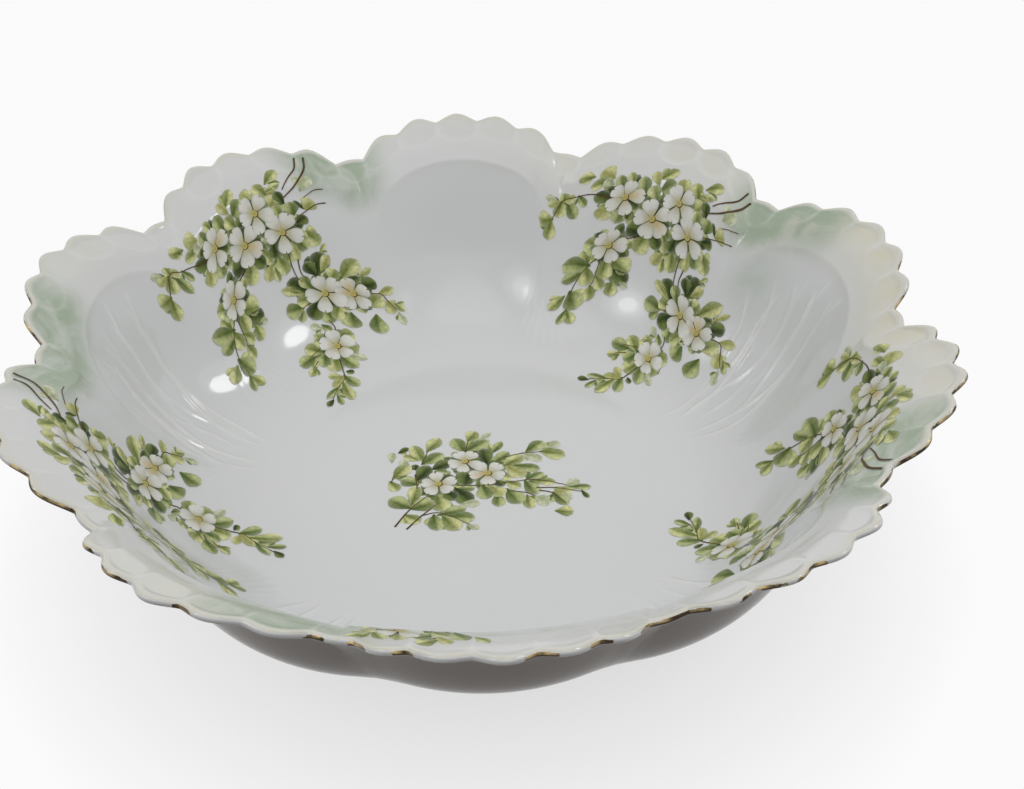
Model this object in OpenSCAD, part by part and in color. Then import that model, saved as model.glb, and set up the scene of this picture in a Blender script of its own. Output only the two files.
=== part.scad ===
// Porcelain serving bowl with ten lobes and a scalloped, gilt rim.
// Millimetres. The bowl stands on its foot ring at z = 0, with its axis on +Z and one lobe on +Y.

/* [Rim] */
// Number of lobes round the rim, alternately a plain panel and a flower panel
lobe_count = 10; // [6:2:14]
// Number of scallops along the edge of one lobe
scallop_count = 5; // [3:1:7]
// Angle taken by the small scallop that fills each notch between two lobes
notch_angle = 4.6; // [3:0.1:6]
// Radius of the rim at the two cusps of a notch
notch_radius = 107.6; // [104:0.1:110]
// Radius of the line of cusps at the middle of a lobe
lobe_radius = 115.6; // [112:0.1:120]
// How far a scallop bulges past its cusps
scallop_depth = 2.6; // [0.5:0.1:4]
// The same for the small scallop that fills a notch
notch_scallop_depth = 0.6; // [0.1:0.1:2]
// Slope along which a scallop bulges, outwards and up
scallop_slope = 25; // [10:1:60]
// How far behind the lip the bulge of a scallop is felt
scallop_reach = 9; // [5:0.5:14]
// Height of the notches above the table
notch_height = 57; // [48:0.5:66]
// Height of the middle of a lobe above the notches
lobe_rise = 6; // [2:0.1:9]
// Thickness of the rounded lip
lip_wall = 2; // [1.6:0.1:3]

/* [Flange] */
// Length of the flare behind the lip, at the middle of a lobe
lobe_flare = 30; // [20:0.5:34]
// Slope of the flare at the middle of a lobe
lobe_flare_slope = 18; // [12:0.5:26]
// Length of the flare behind the lip, at a notch
notch_flare = 22; // [14:0.5:26]
// Slope of the flare at a notch
notch_flare_slope = 27; // [20:0.5:38]
// Length of the shell-like dish pressed behind each scallop
dish_length = 9; // [6:0.5:14]
// Depth of that dish
dish_depth = 0.5; // [0.1:0.1:0.8]

/* [Well] */
// Radius of the flat floor
floor_radius = 52; // [40:0.5:60]
// Thickness of the floor and the lower wall
floor_wall = 4.9; // [4:0.1:7]
// Radius that the belly of a lobe bulges towards
lobe_belly = 96; // [86:0.5:100]
// Radius that the ridge below a notch bulges towards
ridge_belly = 86; // [76:0.5:92]

/* [Plain panels] */
// Depth of the arched recess in every second lobe
panel_depth = 2.8; // [0.5:0.1:3.5]
// How far the outside swells behind a recess
panel_swell = 1.2; // [0:0.1:2]
// Half angle of a recess, seen from the axis
panel_half_angle = 17.2; // [8:0.1:17.5]
// Radius at the top of the arch
panel_top = 105.3; // [98:0.1:108]
// Radius at which the arch springs from its two straight sides
panel_spring = 88; // [78:0.5:92]
// Radius at which a recess has run out into the floor
panel_foot = 62; // [53:0.5:70]

/* [Foot ring] */
// Height of the foot ring
foot_height = 6.3; // [3:0.1:10]
// Width of the foot ring where it is joined to the bowl
foot_root = 7; // [5:0.1:10]
// Width of the flat tread that stands on the table
foot_tread = 3.2; // [2:0.1:4]
// Step between the edge of the flat underside and the foot ring
foot_inset = 1.5; // [0.5:0.1:4]
// Chamfer on both edges of the tread
foot_chamfer = 0.5; // [0.2:0.1:0.8]

/* [Gilding] */
// Thickness of the gilt line over the lip
gilt_film = 0.25; // [0.1:0.05:0.5]

/* [Hidden] */

$fn = 96;
first_lobe = 90;
scallop_steps = 4;
wall_steps = 10;
outer_steps = 8;
lip_steps = 4;
pitch = 360 / lobe_count;
half_pitch = pitch / 2;
lobe_half = (pitch - notch_angle) / 2;
scallop_angle = 2 * lobe_half / scallop_count;
floor_top = foot_height + floor_wall;
lobe_height = notch_height + lobe_rise;
lip_radius = lip_wall / 2;

function mix(a, b, share) = a + (b - a) * share;
function clamp(x) = min(1, max(0, x));

// Angles from the middle of a lobe to each column of points, from cusp to cusp and through the notch.
scallop_columns = [
    for (i = [0 : scallop_count - 1])
        for (k = [0 : scallop_steps - 1]) -lobe_half + scallop_angle * (i + k / scallop_steps)
];
notch_columns = [for (k = [0 : scallop_steps - 1]) lobe_half + notch_angle * k / scallop_steps];
// One entry per column: the number of its lobe, and its angle from the middle of that lobe.
columns = [
    for (n = [0 : lobe_count - 1])
        for (a = concat(scallop_columns, notch_columns)) [n, a]
];

// Places along the wall from floor to lip, closer together near the lip.
function along(i, steps) = 1 - pow(1 - i / steps, 1.25);

// Share of the lobe's bulge at an angle: 1 at the middle of a lobe, 0 at the ridge between two.
function swell(a) = let (u = min(abs(a), pitch - abs(a)) / half_pitch) 1 - u * u;

// The same along the rim, where the bulge ends at the cusps of the notch.
function crown(a, power) = abs(a) >= lobe_half ? 0 : 1 - pow(abs(a) / lobe_half, power);

// Place across the scallop at an angle, as a half wave: 0 at both cusps, 1 between them.
function scallop_wave(a) =
    let (
        place = a >= lobe_half ? (a - lobe_half) / notch_angle : (a + lobe_half) / scallop_angle,
        across = place - floor(place + 1e-6)
    )
    max(0, sin(180 * across));

function scallop_bulge(a) =
    (a >= lobe_half ? notch_scallop_depth : scallop_depth) * pow(scallop_wave(a), 1.4);

// End of the flare at the floor side, from the rim's radius and height, its length and its slope.
function shoulder(radius, height, flare, slope) = [radius, height] - flare * [cos(slope), sin(slope)];

lobe_shoulder = shoulder(lobe_radius, lobe_height, lobe_flare, lobe_flare_slope);
notch_shoulder = shoulder(notch_radius, notch_height, notch_flare, notch_flare_slope);

// The inside of the wall at an angle is one cubic curve, from the flat floor up to the line of cusps.
function controls(a) = [
    [floor_radius, floor_top],
    [mix(ridge_belly, lobe_belly, swell(a)), floor_top],
    mix(notch_shoulder, lobe_shoulder, swell(a)),
    [mix(notch_radius, lobe_radius, crown(a, 2)), mix(notch_height, lobe_height, crown(a, 2.4))]
];

function curve(c, t) =
    pow(1 - t, 3) * c[0] + 3 * t * pow(1 - t, 2) * c[1] + 3 * t * t * (1 - t) * c[2] + pow(t, 3) * c[3];

// Direction along the curve, towards the lip.
function heading(c, t) =
    let (
        d = pow(1 - t, 2) * (c[1] - c[0]) + 2 * t * (1 - t) * (c[2] - c[1]) + t * t * (c[3] - c[2])
    )
    d / norm(d);

// Square to the curve, towards the outside of the bowl.
function outward(c, t) = let (h = heading(c, t)) [h[1], -h[0]];

// The curve with the scallop's bulge, which grows from nothing to its full size at the lip.
function scalloped(c, a, t) =
    let (p = curve(c, t), near = clamp(1 - norm(c[3] - p) / scallop_reach))
    p + scallop_bulge(a) * near * near * [cos(scallop_slope), sin(scallop_slope)];

function wall(t) = mix(floor_wall, lip_wall, pow(t, 3));

// How far a place lies inside the arch: 0 on its edge, 1 at the middle of its springing line.
function in_arch(a, r) =
    let (
        across = a / panel_half_angle,
        up = max(0, r - panel_spring) / (panel_top - panel_spring),
        run_out = clamp((r - panel_foot) / (panel_spring - panel_foot))
    )
    max(0, 1 - across * across - up * up) * run_out;

function dish(a, gap) = dish_depth * scallop_wave(a) * sin(180 * clamp(gap / dish_length));

function is_plain(n) = n % 2 == 0;

function inner_point(n, a, t) =
    let (
        c = controls(a),
        p = scalloped(c, a, t),
        panel = is_plain(n) ? panel_depth * pow(in_arch(a, p[0]), 0.6) : 0
    )
    p + (panel + dish(a, norm(c[3] - curve(c, t)))) * outward(c, t);

function outer_point(n, a, t) =
    let (
        c = controls(a),
        p = scalloped(c, a, t),
        panel = is_plain(n) ? panel_swell * in_arch(a, p[0]) : 0
    )
    p + (wall(t) + panel) * outward(c, t);

// A point at an angle round the lip's section, from 0 on the inside to 180 on the outside.
function lip_point(a, turn, radius) =
    let (c = controls(a), n = outward(c, 1))
    scalloped(c, a, 1) + lip_radius * n + radius * (sin(turn) * heading(c, 1) - cos(turn) * n);

// A point of a section, placed at its own lobe and angle.
function placed(column, p) =
    let (theta = first_lobe + column[0] * pitch + column[1])
    [p[0] * cos(theta), p[0] * sin(theta), p[1]];

// Faces between rings of points that follow one another.
function strips(rings, ring) = [
    for (i = [0 : rings - 2])
        for (k = [0 : ring - 1])
            let (
                next = (k + 1) % ring,
                p = i * ring + k,
                q = i * ring + next,
                r = (i + 1) * ring + next,
                s = (i + 1) * ring + k
            )
            each [[p, q, r], [p, r, s]]
];

// The bowl in one piece: floor, lobed wall, flange and lip.
module bowl_body() {
    ring = len(columns);
    inside = [
        for (i = [0 : wall_steps])
            for (c = columns) placed(c, inner_point(c[0], c[1], along(i, wall_steps)))
    ];
    lip = [
        for (i = [1 : lip_steps - 1])
            for (c = columns) placed(c, lip_point(c[1], 180 * i / lip_steps, lip_radius))
    ];
    outside = [
        for (i = [outer_steps : -1 : 0])
            for (c = columns) placed(c, outer_point(c[0], c[1], along(i, outer_steps)))
    ];
    rings = wall_steps + lip_steps + outer_steps + 1;
    last = (rings - 1) * ring;
    floor_centre = rings * ring;
    base_centre = floor_centre + 1;
    centres = [[0, 0, floor_top], [0, 0, foot_height]];
    floor_faces = [for (k = [0 : ring - 1]) [floor_centre, (k + 1) % ring, k]];
    base_faces = [for (k = [0 : ring - 1]) [base_centre, last + k, last + (k + 1) % ring]];
    color("ghostwhite")
        polyhedron(
            points = concat(inside, lip, outside, centres),
            faces = concat(strips(rings, ring), floor_faces, base_faces)
        );
}

// The ring that the bowl stands on, joined to the flat underside.
module foot_ring() {
    outer = floor_radius - foot_inset;
    inner = outer - foot_root;
    tread_outer = outer - (foot_root - foot_tread) / 2;
    tread_inner = tread_outer - foot_tread;
    section = [
        [inner, foot_height],
        [tread_inner - foot_chamfer, foot_chamfer],
        [tread_inner, 0],
        [tread_outer, 0],
        [tread_outer + foot_chamfer, foot_chamfer],
        [outer, foot_height]
    ];
    color("gainsboro") rotate_extrude() polygon(section);
}

// The gilt line that wraps the lip all the way round.
module gilt_edge() {
    ring = len(columns);
    turns = [for (i = [1 : lip_steps - 1]) 180 * i / lip_steps];
    backs = [for (i = [lip_steps - 1 : -1 : 1]) 180 * i / lip_steps];
    over = [for (turn = turns) for (c = columns) placed(c, lip_point(c[1], turn, lip_radius + gilt_film))];
    under = [for (turn = backs) for (c = columns) placed(c, lip_point(c[1], turn, lip_radius))];
    rings = len(turns) + len(backs);
    last = (rings - 1) * ring;
    closing = [
        for (k = [0 : ring - 1])
            let (next = (k + 1) % ring)
            each [[last + k, last + next, next], [last + k, next, k]]
    ];
    color("goldenrod")
        polyhedron(points = concat(over, under), faces = concat(strips(rings, ring), closing));
}

bowl_body();
foot_ring();
gilt_edge();
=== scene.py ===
import math
import random
from collections import namedtuple

import bmesh
import bpy
import numpy as np
from mathutils import Matrix, Vector


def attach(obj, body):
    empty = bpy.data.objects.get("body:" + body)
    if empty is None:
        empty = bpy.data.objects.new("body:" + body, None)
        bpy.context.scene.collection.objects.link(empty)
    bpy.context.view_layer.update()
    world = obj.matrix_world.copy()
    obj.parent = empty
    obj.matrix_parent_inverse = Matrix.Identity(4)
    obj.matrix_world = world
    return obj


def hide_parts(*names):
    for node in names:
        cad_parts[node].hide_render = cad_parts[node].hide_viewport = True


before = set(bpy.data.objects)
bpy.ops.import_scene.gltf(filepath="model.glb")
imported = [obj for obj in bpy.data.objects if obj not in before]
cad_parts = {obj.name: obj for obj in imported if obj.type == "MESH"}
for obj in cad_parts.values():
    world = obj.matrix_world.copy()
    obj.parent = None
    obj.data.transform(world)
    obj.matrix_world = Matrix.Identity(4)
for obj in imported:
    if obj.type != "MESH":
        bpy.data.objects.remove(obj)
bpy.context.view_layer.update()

# Looks of a lobed porcelain serving bowl. Shapes are worked out in millimetres and degrees, and become metres
# when a mesh is made. They follow the formulas of the solids, with a thinner lip and a lower arch.
MM = 0.001

# The bowl's own sizes.
LOBES = 10
SCALLOPS = 5
FIRST_LOBE = 90.0
PITCH = 360.0 / LOBES
HALF_PITCH = PITCH / 2
NOTCH_ANGLE = 4.6
LOBE_HALF = (PITCH - NOTCH_ANGLE) / 2
SCALLOP_ANGLE = 2 * LOBE_HALF / SCALLOPS
NOTCH_RADIUS, LOBE_RADIUS = 107.6, 115.6
NOTCH_HEIGHT, LOBE_RISE = 57.0, 6.0
SCALLOP_DEPTH, NOTCH_DEPTH, SCALLOP_SLOPE, SCALLOP_REACH = 2.6, 0.6, 25.0, 9.0
LOBE_FLARE, LOBE_SLOPE = 30.0, 18.0
NOTCH_FLARE, NOTCH_SLOPE = 22.0, 27.0
FLOOR_RADIUS, FOOT_HEIGHT, FLOOR_WALL, LIP_WALL = 52.0, 6.3, 4.9, 1.5
FLOOR_TOP = FOOT_HEIGHT + FLOOR_WALL
LIP_RADIUS = LIP_WALL / 2
LOBE_BELLY, RIDGE_BELLY = 96.0, 86.0
PANEL_DEPTH, PANEL_SWELL, PANEL_HALF = 2.8, 1.2, 17.2
PANEL_TOP, PANEL_SPRING, PANEL_FOOT = 103.7, 88.0, 62.0

# Finer relief than the solids have.
RIDGE_SOFT_LOW, RIDGE_SOFT_HIGH = 0.34, 0.10
DISH_DEPTH, DISH_LENGTH = 0.55, 7.5
THREAD_HEIGHT, THREAD_WIDTH, FOLD_WIDTH = 0.09, 0.08, 0.10
# Crest: height, width, and distance from the lip at the side and in the middle of a lobe.
CREST_HEIGHT, CREST_WIDTH, CREST_SIDE, CREST_MIDDLE = 0.8, 5.0, 9.5, 13.5
# Edge of the arch: its rounding, the height and width of its roll, the radii over which the roll rises and
# the edge turns crisp, and the power that makes it soft or crisp.
ARCH_EASE, ARCH_ROLL, ARCH_ROLL_WIDTH = 0.04, 0.12, 0.09
ROLL_RISE, EDGE_RISE, EDGE_SOFT, EDGE_CRISP = (88.0, 98.0), (90.0, 102.0), 1.5, 0.9
FLOW_HEIGHT, FLOW_WIDTH = 0.50, 0.58
# Pleats: height, width, radius where they start, length of their fan, and degrees from the ridge at its end.
PLEAT_HEIGHT, PLEAT_WIDTH, PLEAT_TOP, PLEAT_FAN = 0.05, 0.7, 94.0, 30.0
PLEAT_SPREADS = (1.6, 4.0, 6.8, 9.8)
# The rim warped a little in the kiln: angle, and how far the lip is lifted there.
RIM_LIFTS = ((0, 1.4), (15, 0.3), (45, 0.4), (66, -1.7), (73, -1.2), (76, 0.5), (84, -0.4), (116, -0.6),
             (135, 0.8), (150, 1.2), (176, 1.7), (190, 1.0), (232, -0.8), (280, -0.8), (298, 1.1))
# Pressed by hand, so no two scallops are quite alike: each one's share of the bulge and of the dish.
pressing = random.Random(5)
SCALLOP_SHARES = np.array([pressing.uniform(0.82, 1.15) for _ in range(LOBES * SCALLOPS)])
DISH_SHARES = np.array([pressing.uniform(0.35, 1.2) for _ in range(LOBES * SCALLOPS)])
NOTCH_DISH = 0.8
# Dishes are pressed less clearly on some lobes than on others.
LOBE_DISHES = np.array([0.8, 0.8, 0.8, 0.45, 0.45, 0.45, 0.55, 1.0, 1.0, 0.8])
# 1 where a lobe's dishes end in a clear round edge, 0 where they fade out.
LOBE_CUPS = np.array([1.0, 0.6, 0.6, 0, 0, 0, 0, 0, 0, 1.0])

# Points per scallop and rows of the bowl's mesh.
SCALLOP_COLUMNS, NOTCH_COLUMNS = 24, 16
INNER_ROWS, LIP_ROWS, OUTER_ROWS = 130, 10, 44
# Rows lie closer together towards the lip: 1 would space them evenly.
INNER_CROWDING, OUTER_CROWDING = 1.35, 1.25
FLOOR_RINGS = (5.0, 12.0, 20.0, 28.0, 36.0, 43.0, 48.5)

# Notches brushed with green: angle, and how far the green goes on either side.
GREEN_NOTCHES = ((108.0, -3.5, 10.0), (36.0, -14.0, 4.0), (-36.0, -6.0, 13.0), (-108.0, -13.0, 2.0),
                 (180.0, -13.0, 9.0))
# Painted reflection of the green spray beside it, as a green tint in one plain panel: lobe, angle and half
# width, radius and half width, strength.
PANEL_PAINTED_REFLECTION = (8, 12.0, 4.5, 94.0, 5.0, 0.45)
# Stretches of the flange brushed with cream: middle, half width, strength.
CREAM_STRETCHES = ((12.0, 42.0, 0.75), (-124.0, 22.0, 0.45), (70.0, 20.0, 0.35), (160.0, 10.0, 0.30))
# Cream elsewhere on the flange, on the lip, between dishes and added in them. The cream on the lip and in the
# dishes is partly the glaze's own tint and partly painted shade on the bead and in the hollows.
FAINT_CREAM, LIP_CREAM_AND_SHADE, FLAT_CREAM, DISH_CREAM_AND_SHADE = 0.12, 0.55, 0.65, 0.8
# Distances from the lip over which the green, the flange's cream and the lip's cream and painted shade fade
# out.
GREEN_FADE, CREAM_FADE, LIP_CREAM_FADE = (8.0, 19.0), (6.0, 20.0), (0.2, 1.5)
# Margin at the lip that the brush left out, and how much the raised hair lines and threads are lightened: a
# painted highlight along them.
BRUSH_MARGIN, FLOW_PAINTED_HIGHLIGHT, THREAD_PAINTED_HIGHLIGHT = 1.2, 0.8, 0.3

# Colours, as linear red, green and blue.
WHITE_GLAZE = (0.640, 0.650, 0.652)
# The outside's glaze is greyer and warmer than the inside's: painted shade, standing for the shade the outer
# wall lies in.
OUTER_GLAZE_PAINTED_SHADE = (0.575, 0.550, 0.525)
CREAM_AND_SHADE_GLAZE = (0.62, 0.585, 0.44)
GREEN_GLAZE = (0.335, 0.405, 0.300)
# Lighter glaze for the raised lines: painted highlight.
PAINTED_HIGHLIGHT_GLAZE = (0.76, 0.76, 0.74)
CLOUD_TINT = (0.985, 0.985, 0.975)
# The gold's lower side is darkened with the last colour: painted shade.
GOLD_BRIGHT, GOLD_DARK, GOLD_PAINTED_SHADE_UNDER = (0.55, 0.42, 0.20), (0.050, 0.034, 0.018), (0.035, 0.027, 0.020)
BARE_DARK, BARE_PALE = (0.58, 0.55, 0.49), (0.70, 0.67, 0.61)
# How mirror-like the surfaces are: inside, outside and painted.
INNER_SHINE, OUTER_SHINE, PAINT_SHINE = 0.5, 0.02, 0.08


def mix(a, b, share):
    return a + (b - a) * share


def smooth(x, low, high):
    """0 below low, 1 above high, with a smooth run between them."""
    s = np.clip((x - low) / (high - low), 0, 1)
    return s * s * (3 - 2 * s)


def bell(x):
    return np.exp(-x * x)


# One place on the wall: its lobe and angle, the curve's point and direction, the distance to the lip,
# the place across its scallop from -1 to 1, if it is in a notch, and the number of the scallop.
Place = namedtuple("Place", "n a r z hr hz gap across notch number")


def fold(theta):
    n = np.round((theta - FIRST_LOBE) / PITCH)
    return n.astype(int) % LOBES, theta - FIRST_LOBE - n * PITCH


def unit(r, z):
    size = np.hypot(r, z)
    return r / size, z / size


def shoulder(radius, height, flare, slope):
    return radius - flare * math.cos(math.radians(slope)), height - flare * math.sin(math.radians(slope))


LOBE_SHOULDER = shoulder(LOBE_RADIUS, NOTCH_HEIGHT + LOBE_RISE, LOBE_FLARE, LOBE_SLOPE)
NOTCH_SHOULDER = shoulder(NOTCH_RADIUS, NOTCH_HEIGHT, NOTCH_FLARE, NOTCH_SLOPE)


def crown(a, power):
    return 1 - np.minimum(1, np.abs(a) / LOBE_HALF) ** power


def wall_place(theta, t):
    """The cubic curve of the wall at an angle, with its crest between two lobes rounded, and its scallops."""
    n, a = fold(theta)
    u = np.abs(a) / HALF_PITCH
    soft = mix(RIDGE_SOFT_LOW, RIDGE_SOFT_HIGH, t)
    swell = 1 - u * u + np.maximum(0, u - 1 + soft) ** 2 / soft
    points = (
        (FLOOR_RADIUS, FLOOR_TOP),
        (mix(RIDGE_BELLY, LOBE_BELLY, swell), FLOOR_TOP),
        (mix(NOTCH_SHOULDER[0], LOBE_SHOULDER[0], swell), mix(NOTCH_SHOULDER[1], LOBE_SHOULDER[1], swell)),
        (mix(NOTCH_RADIUS, LOBE_RADIUS, crown(a, 2)), NOTCH_HEIGHT + LOBE_RISE * crown(a, 2.4)),
    )
    weights = ((1 - t) ** 3, 3 * t * (1 - t) ** 2, 3 * t * t * (1 - t), t ** 3)
    slopes = ((1 - t) ** 2, 2 * t * (1 - t), t * t)
    r, z = (sum(w * p[i] for w, p in zip(weights, points)) for i in (0, 1))
    hr, hz = unit(*(sum(s * (q[i] - p[i]) for s, p, q in zip(slopes, points, points[1:])) for i in (0, 1)))
    gap = np.hypot(points[3][0] - r, points[3][1] - z)
    notch = np.abs(a) > LOBE_HALF
    part = np.where(notch, (np.where(a > 0, a - LOBE_HALF, a + LOBE_HALF + NOTCH_ANGLE)) / NOTCH_ANGLE,
                    (a + LOBE_HALF) / SCALLOP_ANGLE)
    across = 2 * (part - np.floor(part)) - 1
    wave = np.maximum(0, np.cos(across * math.pi / 2))
    number = n * SCALLOPS + np.clip(np.floor((a + LOBE_HALF) / SCALLOP_ANGLE), 0, SCALLOPS - 1).astype(int)
    bulge = np.where(notch, NOTCH_DEPTH, SCALLOP_DEPTH * SCALLOP_SHARES[number]) * wave ** 1.4
    bulge = bulge * np.clip(1 - gap / SCALLOP_REACH, 0, 1) ** 2
    r = r + bulge * math.cos(math.radians(SCALLOP_SLOPE))
    z = z + bulge * math.sin(math.radians(SCALLOP_SLOPE))
    angles, lifts = zip(*RIM_LIFTS)
    z = z + np.interp(theta, angles, lifts, period=360) * t ** 3
    return Place(n, a, r, z, hr, hz, gap, across, notch, number)


def arch_level(a, r):
    """Above 0 inside the arch of a plain panel, 0 on its edge, below 0 outside."""
    up = np.maximum(0, r - PANEL_SPRING) / (PANEL_TOP - PANEL_SPRING)
    return 1 - (a / PANEL_HALF) ** 2 - up * up


def arch_share(a, r):
    run_out = np.clip((r - PANEL_FOOT) / (PANEL_SPRING - PANEL_FOOT), 0, 1)
    return np.maximum(0, arch_level(a, r)) * run_out


# Raised hair lines in a plain panel: angle at the top, angle at the foot, sway, top radius, foot radius.
FLOW_LINES = (
    (-7.5, -5, 1.2, 100, 60), (-5.5, -3.6, -1, 101.5, 58), (-3.2, -2.2, 1.1, 99, 62),
    (-0.6, -0.6, -1.3, 102, 64), (1.6, 0.8, 1.2, 98, 66), (3.8, 2.4, -0.9, 100, 60),
    (5.8, 3.8, 1, 97, 58), (7.8, 5.4, -0.7, 95, 57), (9, 7, 0.6, 92, 58),
)
# How strongly the lines show in each lobe, of which every second one is plain, and how far they are turned.
FLOW_SHARES = np.array([0.0, 0, 1.0, 0, 0.7, 0, 0.7, 0, 1.0, 0])
FLOW_TURNS = np.array([0.0, 0, 3.0, 0, -2.0, 0, 3.0, 0, 0.5, 0])


def flow_share(n, a, r):
    """1 along the crest of a hair line, 0 away from it."""
    share = 0 * r
    for k, (top_angle, foot_angle, sway, top, foot) in enumerate(FLOW_LINES):
        down = np.clip((top - r) / (top - foot), 0, 1)
        sway = sway * (1 + 0.7 * np.sin(1.9 * n + 2.3 * k))
        path = mix(top_angle, foot_angle, down) + sway * np.sin(2 * math.pi * down)
        path = path + 2.2 * np.sign(sway) * np.maximum(0, 0.16 - down) / 0.16
        aside = np.radians(a - FLOW_TURNS[n] - path) * r
        ends = smooth(r, foot, foot + 8) * (1 - smooth(r, top - 3, top))
        ends = ends * (0.65 + 0.35 * np.sin(5 * down + 2.1 * n + 1.3 * k))
        share = np.maximum(share, ends * bell(aside / FLOW_WIDTH))
    return FLOW_SHARES[n] * share


def pleat_relief(a, r):
    """Fine pleats that fan out from the low end of each ridge towards the floor."""
    height = 0 * r
    from_ridge = HALF_PITCH - np.abs(a)
    down = np.clip((PLEAT_TOP - r) / PLEAT_FAN, 0, 1.2)
    for k, spread in enumerate(PLEAT_SPREADS):
        aside = np.radians(from_ridge - spread * down ** 1.2) * r
        ends = smooth(r, 59 + 2.5 * k, 68 + 2.5 * k) * (1 - smooth(r, 80 - 2 * k, 90 - 2 * k))
        height = height + ends * bell(aside / PLEAT_WIDTH)
    return PLEAT_HEIGHT * height


def dish_size(place):
    """How deep the dish behind each scallop is, how far it runs in from the lip, and 1 on its round edge."""
    share = np.where(place.notch, NOTCH_DISH, DISH_SHARES[place.number]) * LOBE_DISHES[place.n]
    length = DISH_LENGTH * (0.7 + 0.3 * share)
    inward = np.maximum(0, place.gap - 0.4 * length) / (0.7 * length)
    return share, length, np.hypot(place.across, inward)


def dish_share(place):
    """Dish behind each scallop: steep at the lip, crisp beside its neighbours, round or fading at its end."""
    share, length, edge = dish_size(place)
    side = 1 - np.abs(place.across) ** 3
    faded = 1 - smooth(place.gap, 1.8, 1.35 * length)
    ended = mix(faded, 1 - smooth(edge, 0.65, 1.0), LOBE_CUPS[place.n])
    return share * side * smooth(place.gap, 0.3, 1.8) * ended


def thread_share(place):
    """Fine raised fold that runs in from each cusp, and a line round the end of each dish."""
    share, length, edge = dish_size(place)
    fold_line = bell((1 - np.abs(place.across)) / FOLD_WIDTH) * (1 - smooth(place.gap, 2.5, 1.2 * length))
    ring = (0.3 + 0.6 * LOBE_CUPS[place.n]) * share * bell((edge - 0.98) / THREAD_WIDTH)
    return np.maximum(fold_line, ring) * smooth(place.gap, 0.3, 2.0)


def crest_share(place):
    """Crisp bend of a flower lobe where its wall turns into the flange."""
    off = place.gap - mix(CREST_SIDE, CREST_MIDDLE, crown(place.a, 2))
    return np.exp(-np.sqrt(off ** 2 + 0.3) / CREST_WIDTH * 2.2)


def inner_section(theta, t):
    place = wall_place(theta, t)
    plain = place.n % 2 == 0
    share = arch_share(place.a, place.r)
    eased = np.sqrt(share ** 2 + ARCH_EASE ** 2) - ARCH_EASE
    roll = ARCH_ROLL * bell(arch_level(place.a, place.r) / ARCH_ROLL_WIDTH) * smooth(place.r, *ROLL_RISE)
    crisp = mix(EDGE_SOFT, EDGE_CRISP, smooth(place.r, *EDGE_RISE))
    panel = PANEL_DEPTH * eased ** crisp - roll - FLOW_HEIGHT * flow_share(place.n, place.a, place.r)
    depth = np.where(plain, panel, -CREST_HEIGHT * crest_share(place))
    depth = depth + DISH_DEPTH * dish_share(place) - THREAD_HEIGHT * thread_share(place)
    depth = depth - pleat_relief(place.a, place.r)
    depth = depth * np.clip(t / 0.04, 0, 1) * np.clip(place.gap / 1.0, 0, 1)
    return place.r + depth * place.hz, place.z - depth * place.hr


def outer_section(theta, t):
    place = wall_place(theta, t)
    depth = mix(FLOOR_WALL, LIP_WALL, t ** 3)
    depth = depth + np.where(place.n % 2 == 0, PANEL_SWELL * arch_share(place.a, place.r), 0)
    return place.r + depth * place.hz, place.z - depth * place.hr


def lip_section(theta, turn, radius):
    """Round the lip, from 0 on the inside to 180 on the outside."""
    place = wall_place(theta, np.ones_like(theta))
    along, aside = math.sin(math.radians(turn)) * radius, LIP_RADIUS - math.cos(math.radians(turn)) * radius
    return place.r + along * place.hr + aside * place.hz, place.z + along * place.hz - aside * place.hr


def placed(theta, r, z):
    angle = np.radians(theta)
    return np.stack([r * np.cos(angle), r * np.sin(angle), z + 0 * r], axis=-1)


def inner_point(theta, t):
    return placed(theta, *inner_section(theta, t))


def column_angles():
    angles = []
    for n in range(LOBES):
        middle = FIRST_LOBE + n * PITCH
        for i in range(SCALLOPS * SCALLOP_COLUMNS):
            angles.append(middle - LOBE_HALF + SCALLOP_ANGLE * i / SCALLOP_COLUMNS)
        for i in range(NOTCH_COLUMNS):
            angles.append(middle + LOBE_HALF + NOTCH_ANGLE * i / NOTCH_COLUMNS)
    return np.array(angles)


def turned(theta, centre):
    """Angle from centre to theta, from -180 to 180."""
    return (theta - centre + 180) % 360 - 180


def make_mesh(name, points, faces, materials, smooth_faces=True):
    mesh = bpy.data.meshes.new(name)
    mesh.from_pydata((np.asarray(points) * MM).tolist(), [], faces)
    mesh.validate()
    for material in materials:
        mesh.materials.append(material)
    if smooth_faces:
        mesh.shade_smooth()
    obj = bpy.data.objects.new(name, mesh)
    bpy.context.scene.collection.objects.link(obj)
    return obj


def set_colours(obj, name, colours):
    opaque = np.concatenate([colours, np.ones((len(colours), 1))], axis=1)
    layer = obj.data.color_attributes.new(name, "FLOAT_COLOR", "POINT")
    layer.data.foreach_set("color", opaque.astype(np.float32).ravel())


def ring_faces(rings, size):
    low = np.arange((rings - 1) * size).reshape(rings - 1, size)
    ahead = np.roll(low, -1, axis=1)
    return np.stack([low, ahead, ahead + size, low + size], axis=-1).reshape(-1, 4).tolist()


# Materials.

def emptied(owner, kind):
    """Node tree of a material or world with nothing but its output in it."""
    owner.use_nodes = True
    owner.node_tree.nodes.clear()
    return owner.node_tree, owner.node_tree.nodes.new(kind)


def new_material(name):
    material = bpy.data.materials.new(name)
    tree, output = emptied(material, "ShaderNodeOutputMaterial")
    shader = tree.nodes.new("ShaderNodeBsdfPrincipled")
    tree.links.new(shader.outputs["BSDF"], output.inputs["Surface"])
    return material, tree, shader


def attribute(tree, name):
    node = tree.nodes.new("ShaderNodeAttribute")
    node.attribute_name = name
    return node


def channels(tree, name):
    node = tree.nodes.new("ShaderNodeSeparateColor")
    tree.links.new(attribute(tree, name).outputs["Color"], node.inputs["Color"])
    return node.outputs


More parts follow.
